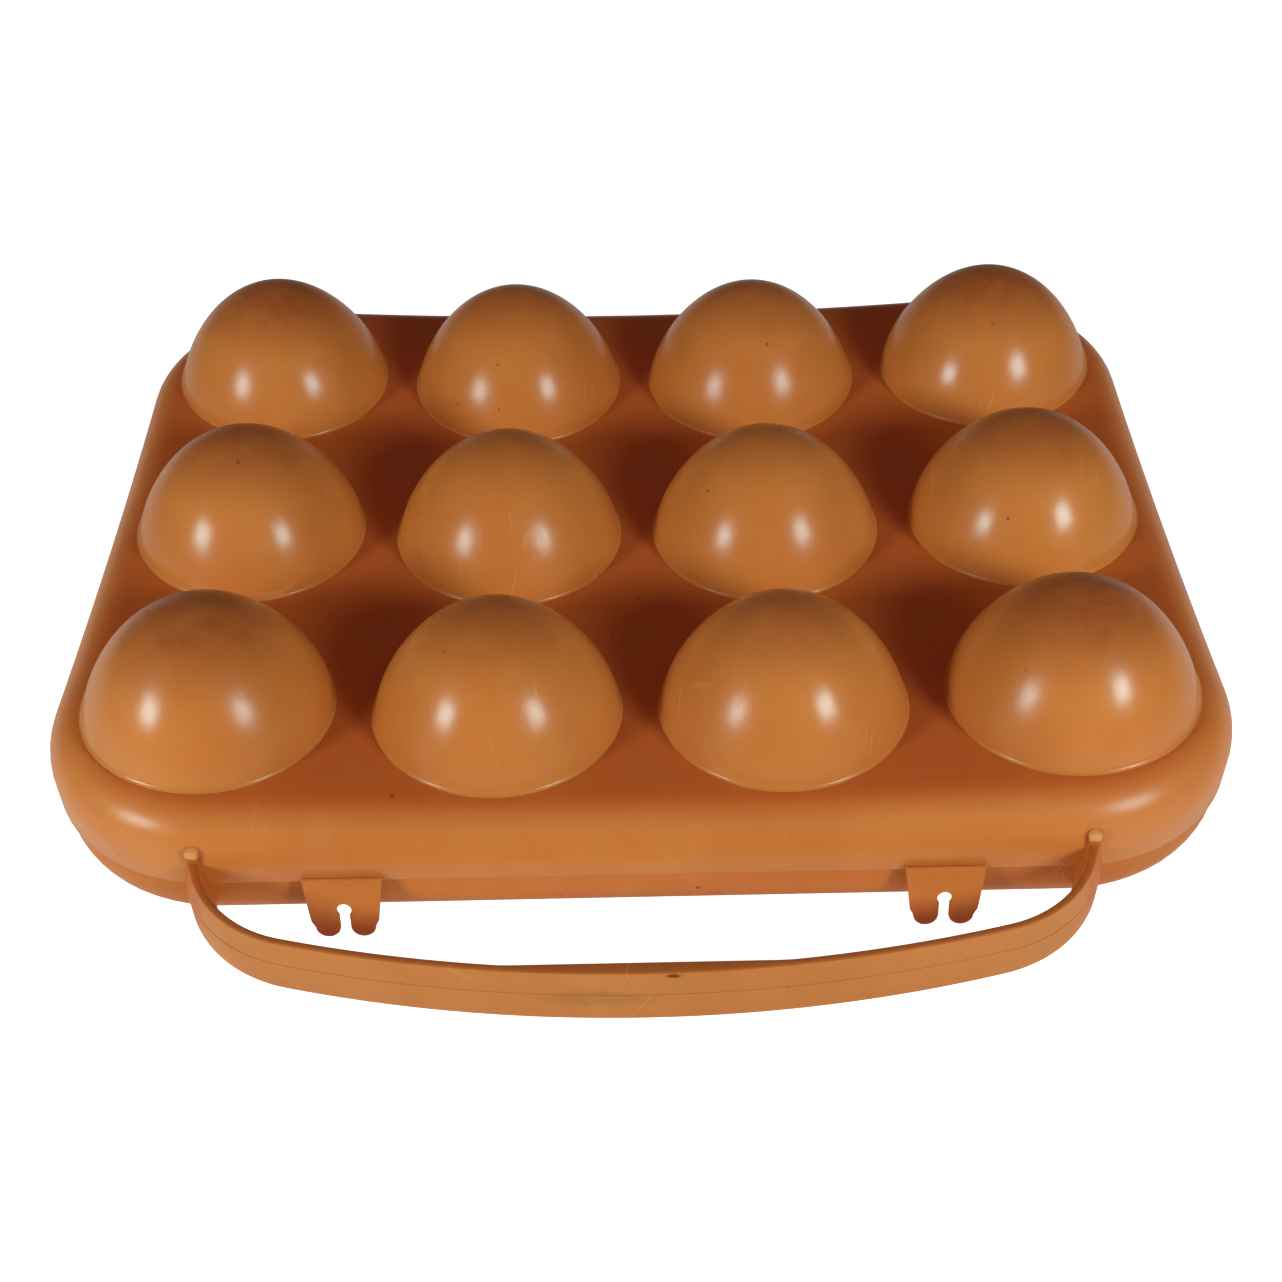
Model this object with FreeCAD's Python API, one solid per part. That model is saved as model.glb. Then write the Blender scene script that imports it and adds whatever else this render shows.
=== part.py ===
import FreeCAD, Part
import math
import os

# Egg carrying box: a hinged lid with egg domes over a base with egg cups.
# Millimetres. X runs along the box, -Y is the front with the carrying strap, +Y the hinged back,
# Z points up. The origin is on the table, at the middle of the box's overall length and depth.

# Egg places
columns = 4
rows = 3
dome_r = 24.75
dome_h = 24.4
dome_fullness = 1.42
dome_gap = 8.0
cup_r = 21.0
cup_depth = 12.0
cup_foot_r = 9.5
cup_bulge = 2.6

# Lid and base mouldings
wall = 1.5
side_border = 8.2
front_border = 9.3
corner_border = 11.75
lid_rise = 9.65
dish_radius = 1150.0
lid_edge_r = 10.0
lid_land = 1.0
base_depth = 14.0
base_inset = 0.8
base_edge_r = 10.0
base_land = 1.0
seam_gap = 0.3
lip_height = 2.0
lip_thickness = 0.9
lip_clearance = 0.4

# Carrying strap
handle_reach = 27.75
handle_rise = 6.6
handle_drop = 7.1
handle_thickness = 1.4
handle_bow_r = 275.0
handle_bow_half = 66.8
handle_arm_r = 26.0
handle_foot_outer_r = 29.5
handle_foot_inner_r = 21.0
handle_root_turn = 72.0
grip_swell = 1.2
nub_width = 2.5
nub_height = 3.2
nub_proud = 0.6

# Latch tabs and their studs
tab_width = 15.6
tab_tip_width = 12.0
tab_length = 12.5
tab_thickness = 1.2
tab_clearance = 0.3
tab_hinge_height = 1.3
tab_rest_angle = 22.0
tab_straight = 4.0
tab_bend_r = 30.0
prong_r = 2.4
eye_r = 1.4
eye_drop = 6.3
neck_width = 2.0
stud_r = 0.8
stud_reach = 0.6
film_clearance = 0.05

# Back hinges
hinge_length = 38.0
hinge_reach = 4.0
leaf_thickness = 1.0
bead_r = 0.55
bead_clearance = 0.06

# Places worked out from the sizes above
egg_pitch = 2 * dome_r + dome_gap
lid_length = (columns - 1) * egg_pitch + 2 * (dome_r + side_border)
lid_depth = (rows - 1) * egg_pitch + 2 * (dome_r + front_border)
corner_r = dome_r + corner_border
seam_z = cup_depth + base_depth
lid_bottom = seam_z + seam_gap / 2
base_top = seam_z - seam_gap / 2
dish_low = seam_z + lid_rise
dish_centre = FreeCAD.Vector(0, 0, dish_low + dish_radius)
front_y = -lid_depth / 2
back_y = lid_depth / 2
hinge_y = back_y + hinge_reach
latch_x = egg_pitch
box_y = (handle_reach - hinge_reach - bead_r) / 2
up = FreeCAD.Vector(0, 0, 1)
along_x = FreeCAD.Vector(1, 0, 0)
along_y = FreeCAD.Vector(0, 1, 0)


def dish_height(x, y):
    """Height of the lid's dished top surface above the table at a place on the plan."""
    return dish_centre.z - math.sqrt(dish_radius ** 2 - x ** 2 - y ** 2)


lid_side = dish_height(0, front_y) - lid_bottom
lid_edge = min(lid_edge_r, lid_side - lid_land)
base_edge = min(base_edge_r, base_top - cup_depth - base_land)


def rounded_block(inset, low, high):
    """Upright block on the lid's plan, drawn in all round by the inset."""
    half_x = lid_length / 2 - inset
    half_y = lid_depth / 2 - inset
    block = Part.makeBox(2 * half_x, 2 * half_y, high - low, FreeCAD.Vector(-half_x, -half_y, low))
    corners = [edge for edge in block.Edges if edge.BoundBox.ZLength > (high - low) / 2]
    return block.makeFillet(corner_r - inset, corners)


def edges_at(shape, low, high):
    """Edges of a shape that lie whole between two heights."""
    return [e for e in shape.Edges if e.BoundBox.ZMin > low and e.BoundBox.ZMax < high]


def lid_block(inset, bottom):
    """The lid as a full block: straight sides, a dished top and a round edge between them."""
    top = dish_height(lid_length / 2, lid_depth / 2) + wall
    bowl = Part.makeSphere(dish_radius + inset, dish_centre)
    block = rounded_block(inset, bottom, top).cut(bowl)
    return block.makeFillet(lid_edge - inset, edges_at(block, bottom + lid_land / 2, top))


def base_block(inset, bottom, top):
    """The base as a full block with a flat floor and a round edge around it."""
    block = rounded_block(base_inset + inset, bottom, top)
    return block.makeFillet(base_edge - inset, edges_at(block, bottom - wall, bottom + wall))


def egg_places():
    """Name and plan place of every egg, row by row from the front, left to right."""
    row_names = ["front", "middle", "back"]
    places = []
    for row in range(rows):
        row_name = row_names[row] if row < len(row_names) else "row_%d" % (row + 1)
        for column in range(columns):
            x = (column - (columns - 1) / 2) * egg_pitch
            y = (row - (rows - 1) / 2) * egg_pitch
            places.append(("%s_%d" % (row_name, column + 1), x, y))
    return places


def spun(edges, x, y):
    """Solid of revolution of a closed profile in the XZ plane, set at a place on the plan."""
    face = Part.Face(Part.Wire(Part.__sortEdges__(edges)))
    solid = face.revolve(FreeCAD.Vector(0, 0, 0), up, 360)
    return solid.translated(FreeCAD.Vector(x, y, 0))


def dome_form(x, y, radius, height, skirt):
    """Blunt end of an egg, standing on the dish, with a straight skirt that reaches below it."""
    root = dish_height(x, y)
    steps = 14
    points = []
    for step in range(steps + 1):
        share = math.sin(step / steps * math.pi / 2)
        r = radius * math.sqrt(max(0.0, 1 - share ** dome_fullness))
        points.append(FreeCAD.Vector(r, 0, root + height * share))
    curve = Part.BSplineCurve()
    curve.interpolate(points)
    low = FreeCAD.Vector(radius, 0, root - skirt)
    low_middle = FreeCAD.Vector(0, 0, root - skirt)
    edges = [
        curve.toShape(),
        Part.makeLine(points[0], low),
        Part.makeLine(low, low_middle),
        Part.makeLine(low_middle, points[-1]),
    ]
    return spun(edges, x, y)


def dome(x, y, lid_outside):
    """One egg dome of the lid, cut to stand on the dished top."""
    skirt = lid_rise / 2
    outside = dome_form(x, y, dome_r, dome_h, skirt)
    inside = dome_form(x, y, dome_r - wall, dome_h - wall, skirt + wall)
    return outside.cut(inside).cut(lid_outside)


def lid_tray(lid_outside):
    """The lid without its domes: dished plate, round edge and skirt, with a hole under each dome."""
    tray = lid_outside.cut(lid_block(wall, lid_bottom - wall))
    for name, x, y in egg_places():
        hole = Part.makeCylinder(dome_r - wall, 2 * lid_rise, FreeCAD.Vector(x, y, seam_z), up)
        tray = tray.cut(hole)
    return tray


def cup_form(x, y, radius, foot, top, bottom):
    """Bowl with a flat foot, its side one arc between the rim and the foot."""
    rim_point = FreeCAD.Vector(radius, 0, top)
    foot_point = FreeCAD.Vector(foot, 0, bottom)
    chord = foot_point - rim_point
    outward = FreeCAD.Vector(-chord.z, 0, chord.x).normalize()
    belly = (rim_point + foot_point) * 0.5 + outward * cup_bulge
    foot_middle = FreeCAD.Vector(0, 0, bottom)
    top_middle = FreeCAD.Vector(0, 0, top)
    edges = [
        Part.Arc(rim_point, belly, foot_point).toShape(),
        Part.makeLine(foot_point, foot_middle),
        Part.makeLine(foot_middle, top_middle),
        Part.makeLine(top_middle, rim_point),
    ]
    return spun(edges, x, y)


def cup(x, y):
    """One egg cup of the base, hanging from the floor and flat where it meets the table."""
    outside = cup_form(x, y, cup_r, cup_foot_r, cup_depth, 0)
    inside = cup_form(x, y, cup_r - wall, cup_foot_r - wall / 2, cup_depth, wall)
    return outside.cut(inside)


def base_tray(base_outside):
    """The base without its cups: floor, round edge, wall and the lip that keeps the lid in place."""
    tray = base_outside.cut(base_block(wall, cup_depth + wall, base_top + wall))
    lip_outside = wall + lip_clearance
    lip = rounded_block(lip_outside, base_top - wall, seam_z + lip_height)
    lip_hollow = rounded_block(lip_outside + lip_thickness, base_top - wall, seam_z + lip_height)
    inside = rounded_block(base_inset + wall / 2, base_top - wall, seam_z + lip_height)
    tray = tray.fuse(lip.cut(lip_hollow).common(inside)).removeSplitter()
    for name, x, y in egg_places():
        hole = Part.makeCylinder(cup_r - wall, 2 * wall, FreeCAD.Vector(x, y, cup_depth - wall / 2), up)
        tray = tray.cut(hole)
    return tray


bow_turn = math.asin(handle_bow_half / handle_bow_r)
root_turn = math.radians(handle_root_turn)
bow_centre_y = front_y - handle_reach + handle_bow_r


def arm_point(side, turn, bow_r, arm_r):
    """Point on a strap arm, which bends off the bow at its end and turns back to the box."""
    across = (bow_r - arm_r) * math.sin(bow_turn) + arm_r * math.sin(turn)
    back = (bow_r - arm_r) * math.cos(bow_turn) + arm_r * math.cos(turn)
    return FreeCAD.Vector(side * across, bow_centre_y - back, 0)


def tail_point(side, bow_r, arm_r):
    """End of a strap arm's straight run, well inside the box."""
    run = FreeCAD.Vector(side * math.cos(root_turn), math.sin(root_turn), 0) * handle_reach
    return arm_point(side, root_turn, bow_r, arm_r) + run


def arms(bow_r, arm_r):
    """Both arms of one side of the strap's plan."""
    edges = []
    for side in (-1, 1):
        start = arm_point(side, bow_turn, bow_r, arm_r)
        middle = arm_point(side, (bow_turn + root_turn) / 2, bow_r, arm_r)
        end = arm_point(side, root_turn, bow_r, arm_r)
        edges.append(Part.Arc(start, middle, end).toShape())
        edges.append(Part.makeLine(end, tail_point(side, bow_r, arm_r)))
    return edges


def bow_arc(bow_r, start, end):
    """Part of the strap's long bow, between two turns from the middle."""
    points = []
    for turn in (start, (start + end) / 2, end):
        points.append(FreeCAD.Vector(bow_r * math.sin(turn), bow_centre_y - bow_r * math.cos(turn), 0))
    return Part.Arc(points[0], points[1], points[2]).toShape()


def strap_plan(height, outer_arm_r, inner_arm_r):
    """Closed outline of the strap seen from above, thicker along the straight-backed grip."""
    inner_bow_r = handle_bow_r - handle_thickness
    grip_turn = math.acos(1 - grip_swell / inner_bow_r)
    left_rest = bow_arc(inner_bow_r, -bow_turn, -grip_turn)
    right_rest = bow_arc(inner_bow_r, grip_turn, bow_turn)
    grip = Part.makeLine(left_rest.Vertexes[1].Point, right_rest.Vertexes[0].Point)
    edges = arms(handle_bow_r, outer_arm_r) + [bow_arc(handle_bow_r, -bow_turn, bow_turn)]
    edges += arms(inner_bow_r, inner_arm_r) + [left_rest, grip, right_rest]
    for side in (-1, 1):
        outer_end = tail_point(side, handle_bow_r, outer_arm_r)
        edges.append(Part.makeLine(outer_end, tail_point(side, inner_bow_r, inner_arm_r)))
    return Part.Wire(Part.__sortEdges__(edges)).translated(up * height)


def lid_handle(lid_outside):
    """Upper half of the strap, its arms thicker towards the seam, with a small nub over each root."""
    top = seam_z + handle_rise
    foot = strap_plan(lid_bottom, handle_foot_outer_r, handle_foot_inner_r)
    crest = strap_plan(top, handle_arm_r, handle_arm_r - handle_thickness)
    half = Part.makeLoft([foot, crest], True, True)
    end = arm_point(1, root_turn, handle_bow_r, handle_arm_r)
    root_x = end.x + (front_y - end.y) / math.tan(root_turn)
    for side in (-1, 1):
        left = side * (root_x - nub_width / 2) - nub_width / 2
        corner = FreeCAD.Vector(left, front_y - nub_proud, top - nub_height)
        half = half.fuse(Part.makeBox(nub_width, lid_edge, 2 * nub_height, corner))
    return half.cut(lid_outside).removeSplitter()


def base_handle(base_outside):
    """Lower half of the strap, carried by the base."""
    low = seam_z - handle_drop
    plan = Part.Face(strap_plan(low, handle_foot_outer_r, handle_foot_inner_r))
    return plan.extrude(up * (base_top - low)).cut(base_outside)


tab_inner_y = front_y - tab_clearance
tab_axis_y = tab_inner_y - tab_thickness / 2
tab_axis_z = seam_z + tab_hinge_height


def tab_plate(x):
    """Gently curved plate of a latch tab as it lies closed against the base, before it is trimmed."""
    bend_y = tab_inner_y + tab_bend_r
    bend_z = tab_axis_z - tab_straight
    turn = (tab_length - tab_straight + tab_thickness) / tab_bend_r
    outer_r = tab_bend_r + tab_thickness

    def at(radius, angle):
        y = bend_y - radius * math.cos(angle)
        return FreeCAD.Vector(x - tab_width / 2, y, bend_z - radius * math.sin(angle))

    def top(y):
        return FreeCAD.Vector(x - tab_width / 2, y, tab_axis_z)

    outer_y = tab_inner_y - tab_thickness
    crown = FreeCAD.Vector(x - tab_width / 2, tab_axis_y, tab_axis_z + tab_thickness / 2)
    edges = [
        Part.Arc(top(tab_inner_y), crown, top(outer_y)).toShape(),
        Part.makeLine(top(outer_y), at(outer_r, 0)),
        Part.Arc(at(outer_r, 0), at(outer_r, turn / 2), at(outer_r, turn)).toShape(),
        Part.makeLine(at(outer_r, turn), at(tab_bend_r, turn)),
        Part.Arc(at(tab_bend_r, turn), at(tab_bend_r, turn / 2), at(tab_bend_r, 0)).toShape(),
        Part.makeLine(at(tab_bend_r, 0), top(tab_inner_y)),
    ]
    profile = Part.Face(Part.Wire(Part.__sortEdges__(edges)))
    return profile.extrude(along_x * tab_width)


def tab_outline(x):
    """Front view of a latch tab as a thick block: tapered sides, round prongs and a keyhole slot."""
    top = tab_axis_z + tab_thickness
    tip = tab_axis_z - tab_length
    deep = 4 * tab_length
    near_y = tab_axis_y - deep / 2
    corners = [
        FreeCAD.Vector(x - tab_width / 2, near_y, top),
        FreeCAD.Vector(x + tab_width / 2, near_y, top),
        FreeCAD.Vector(x + tab_tip_width / 2, near_y, tip),
        FreeCAD.Vector(x - tab_tip_width / 2, near_y, tip),
    ]
    block = Part.Face(Part.makePolygon(corners + corners[:1])).extrude(along_y * deep)
    eye_z = tab_axis_z - eye_drop
    neck = Part.makeBox(neck_width, deep, eye_z - tip + wall,
                        FreeCAD.Vector(x - neck_width / 2, near_y, tip - wall))
    eye = Part.makeCylinder(eye_r, deep, FreeCAD.Vector(x, near_y, eye_z), along_y)
    block = block.cut(neck).cut(eye)
    tips = [e for e in block.Edges if e.BoundBox.YLength > deep / 2 and e.BoundBox.ZMax < tip + wall / 2]
    return block.makeFillet(prong_r, tips)


def latch_tab(x):
    """Forked latch tab, hanging open from the lid's front as it springs when it is let go."""
    tab = tab_plate(x).common(tab_outline(x))
    pivot = FreeCAD.Vector(x, tab_axis_y, tab_axis_z)
    tab.rotate(pivot, along_x, -tab_rest_angle)
    return tab


def latch_film(x):
    """Thin web on the lid's front wall, along the fold of a latch tab."""
    depth = tab_clearance - film_clearance
    corner = FreeCAD.Vector(x - tab_width / 2, front_y - depth, tab_axis_z - tab_thickness / 2)
    return Part.makeBox(tab_width, depth, tab_thickness, corner)


def latch_stud(x, base_outside):
    """Round stud on the base that the eye of a latch tab clips over."""
    height = tab_axis_z - eye_drop
    tip_y = tab_inner_y - stud_reach
    pin = Part.makeCylinder(stud_r, -tip_y, FreeCAD.Vector(x, tip_y, height), along_y)
    rim = [e for e in pin.Edges if e.BoundBox.YMax < tip_y + stud_reach / 2]
    return pin.makeFillet(stud_r / 2, rim).cut(base_outside)


def hinge_leaf(x, low, outside, room):
    """One leaf of a back hinge, from the wall to the fold, hollowed along the fold."""
    leaf = Part.makeBox(hinge_length, hinge_reach + wall, leaf_thickness,
                        FreeCAD.Vector(x - hinge_length / 2, back_y - wall, low))
    return leaf.cut(hinge_bead(x, room)).cut(outside)


def hinge_bead(x, radius):
    """Round bead along the fold of a back hinge."""
    start = FreeCAD.Vector(x - hinge_length / 2, hinge_y, seam_z)
    return Part.makeCylinder(radius, hinge_length, start, along_x)


def build():
    """All the pieces by name, about the middle of the box's plan."""
    lid_outside = lid_block(0, lid_bottom)
    base_outside = base_block(0, cup_depth, base_top)
    pieces = {
        "lid_tray": lid_tray(lid_outside),
        "base_tray": base_tray(base_outside),
        "lid_handle": lid_handle(lid_outside),
        "base_handle": base_handle(base_outside),
    }
    for name, x, y in egg_places():
        pieces["lid_dome_" + name] = dome(x, y, lid_outside)
        pieces["egg_cup_" + name] = cup(x, y)
    for side, x in (("left", -latch_x), ("right", latch_x)):
        pieces["latch_tab_" + side] = latch_tab(x)
        pieces["latch_film_" + side] = latch_film(x)
        pieces["latch_stud_" + side] = latch_stud(x, base_outside)
        pieces["lid_hinge_leaf_" + side] = hinge_leaf(x, lid_bottom, lid_outside, bead_r + bead_clearance)
        pieces["base_hinge_leaf_" + side] = hinge_leaf(x, base_top - leaf_thickness, base_outside, bead_r)
        pieces["hinge_bead_" + side] = hinge_bead(x, bead_r)
    return pieces


os.makedirs("parts", exist_ok=True)
for node, shape in build().items():
    placed = shape.translated(along_y * box_y)
    solids = placed.Solids
    print("%-24s solids %d valid %s volume %.1f mm3" % (node, len(solids), placed.isValid(), placed.Volume))
    placed = solids[0] if len(solids) == 1 else Part.makeCompound(solids)
    placed.exportStep("parts/%s.step" % node)
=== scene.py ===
import logging
import math
from collections.abc import Callable, Sequence
from dataclasses import dataclass, field
from enum import Enum

import bmesh
import bpy
from mathutils import Matrix, Vector
from mathutils.geometry import delaunay_2d_cdt


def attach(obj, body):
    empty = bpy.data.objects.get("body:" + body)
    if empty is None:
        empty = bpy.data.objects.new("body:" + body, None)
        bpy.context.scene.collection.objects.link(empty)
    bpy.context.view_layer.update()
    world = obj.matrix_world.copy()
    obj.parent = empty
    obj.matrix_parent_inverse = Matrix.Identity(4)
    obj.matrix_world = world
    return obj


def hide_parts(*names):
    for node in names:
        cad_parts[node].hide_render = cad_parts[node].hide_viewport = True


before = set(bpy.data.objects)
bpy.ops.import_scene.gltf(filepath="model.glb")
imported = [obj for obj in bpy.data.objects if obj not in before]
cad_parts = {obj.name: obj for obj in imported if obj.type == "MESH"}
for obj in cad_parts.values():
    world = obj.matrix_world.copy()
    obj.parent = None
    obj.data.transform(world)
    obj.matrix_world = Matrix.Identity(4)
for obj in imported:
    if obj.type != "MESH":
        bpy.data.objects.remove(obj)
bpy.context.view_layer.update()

LOG = logging.getLogger("egg_box")
# Metres in a millimetre, and the distance in millimetres at which points are joined
MM = 0.001
WELD = 0.002
# Share of a small round by which its middle stands in from both faces
ROUND_MIDDLE = 0.3

Colour = tuple[float, float, float, float]
Plan = tuple[float, float]
Section = list[Vector]


class Slot(Enum):
    """Material slots of the record."""

    LID = "amber_lid"
    DOME = "amber_dome"
    BASE = "amber_base"
    CUP = "amber_cup"
    STRAP = "amber_strap"
    LATCH = "amber_latch"
    HINGE = "amber_hinge"


class Body(Enum):
    """Bodies that the pieces ride on."""

    BASE = "base"
    LID = "lid"
    LATCH_LEFT = "latch_left"
    LATCH_RIGHT = "latch_right"


class Half(Enum):
    """The two halves of the carrying strap."""

    UPPER = "lid_handle"
    LOWER = "base_handle"


def amber(red: int, green: int, blue: int) -> Colour:
    """Turn a screen colour into the linear one that shaders take.

    Args:
        red: Red from 0 to 255.
        green: Green from 0 to 255.
        blue: Blue from 0 to 255.

    Returns:
        The linear colour with full alpha.
    """
    def linear(level: int) -> float:
        """Linear value of one channel."""
        share = level / 255
        return share / 12.92 if share <= 0.04045 else ((share + 0.055) / 1.055) ** 2.4

    return linear(red), linear(green), linear(blue), 1.0


class Wire:
    """A node's output that Python's operators can do sums with."""

    def __init__(self, graph: "Graph", socket: bpy.types.NodeSocket) -> None:
        """Keep the tree and the socket."""
        self.graph = graph
        self.socket = socket

    def sum(self, operation: str, *others: "Wire | float") -> "Wire":
        """Add a Math node that starts from this value.

        Args:
            operation: The Math node's operation.
            others: The second and third values, where the operation has them.

        Returns:
            The Math node's value.
        """
        return self.graph.add("ShaderNodeMath", {"operation": operation}, dict(enumerate((self, *others))))

    def __add__(self, other: "Wire | float") -> "Wire":
        """This value plus the other."""
        return self.sum("ADD", other)

    __radd__ = __add__

    def __sub__(self, other: "Wire | float") -> "Wire":
        """This value less the other."""
        return self.sum("SUBTRACT", other)

    def __rsub__(self, other: float) -> "Wire":
        """A number less this value."""
        return (self * -1.0) + other

    def __mul__(self, other: "Wire | float") -> "Wire":
        """This value times the other."""
        return self.sum("MULTIPLY", other)

    __rmul__ = __mul__

    def __truediv__(self, other: "Wire | float") -> "Wire":
        """This value over the other."""
        return self.sum("DIVIDE", other)

    def __pow__(self, power: "Wire | float") -> "Wire":
        """This value to a power."""
        return self.sum("POWER", power)

    def least(self, other: "Wire | float") -> "Wire":
        """The smaller of the two values."""
        return self.sum("MINIMUM", other)

    def most(self, other: "Wire | float") -> "Wire":
        """The larger of the two values."""
        return self.sum("MAXIMUM", other)

    def rise(self, low: "Wire | float", high: "Wire | float") -> "Wire":
        """Smooth step from 0 at the low value to 1 at the high one.

        Args:
            low: Value where the step starts.
            high: Value where the step ends.

        Returns:
            The step.
        """
        settings = {"interpolation_type": "SMOOTHSTEP"}
        sockets = {"Value": self, "From Min": low, "From Max": high}
        return self.graph.add("ShaderNodeMapRange", settings, sockets)


class Graph:
    """A node tree that is written as Python expressions."""

    def __init__(self, tree: bpy.types.NodeTree) -> None:
        """Keep the tree."""
        self.tree = tree

    def node(self, kind: str, settings: dict | None = None, sockets: dict | None = None) -> bpy.types.Node:
        """Create any node, its settings first and then its sockets.

        Args:
            kind: The node's type.
            settings: The node's own settings.
            sockets: Values or links of the input sockets, by name or place.

        Returns:
            The new node.
        """
        made = self.tree.nodes.new(kind)
        for key, value in (settings or {}).items():
            setattr(made, key, value)
        for key, value in (sockets or {}).items():
            if isinstance(value, Wire):
                self.tree.links.new(value.socket, made.inputs[key])
            else:
                made.inputs[key].default_value = value
        return made

    def add(self, kind: str, settings: dict | None = None, sockets: dict | None = None,
            output: int | str = 0) -> Wire:
        """Create any node and take one of its outputs.

        Args:
            kind: The node's type.
            settings: The node's own settings.
            sockets: Values or links of the input sockets.
            output: Name or place of the output.

        Returns:
            The output.
        """
        return Wire(self, self.node(kind, settings, sockets).outputs[output])

    def mix(self, share: "Wire | float", first: "Wire | Colour", second: "Wire | Colour") -> Wire:
        """Blend two colours.

        Args:
            share: How much of the second colour.
            first: Colour at 0.
            second: Colour at 1.

        Returns:
            The blended colour.
        """
        settings = {"data_type": "RGBA", "clamp_factor": True}
        return self.add("ShaderNodeMix", settings, {0: share, 6: first, 7: second}, 2)

    def noise(self, where: Wire, scale: float, detail: float = 2.0, roughness: float = 0.5) -> Wire:
        """Smooth noise over the surface.

        Args:
            where: The place on the surface.
            scale: Lumps to the metre.
            detail: Octaves.
            roughness: Strength of the finer octaves.

        Returns:
            The noise, about 0.5.
        """
        sockets = {"Vector": where, "Scale": scale, "Detail": detail, "Roughness": roughness}
        return self.add("ShaderNodeTexNoise", {}, sockets)


@dataclass(frozen=True)
class Mark:
    """One stained or worn place on a piece, or a patch of painted light."""

    centre: tuple[float, float, float]
    reach: tuple[float, float, float]
    colour: Colour
    strength: float


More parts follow.
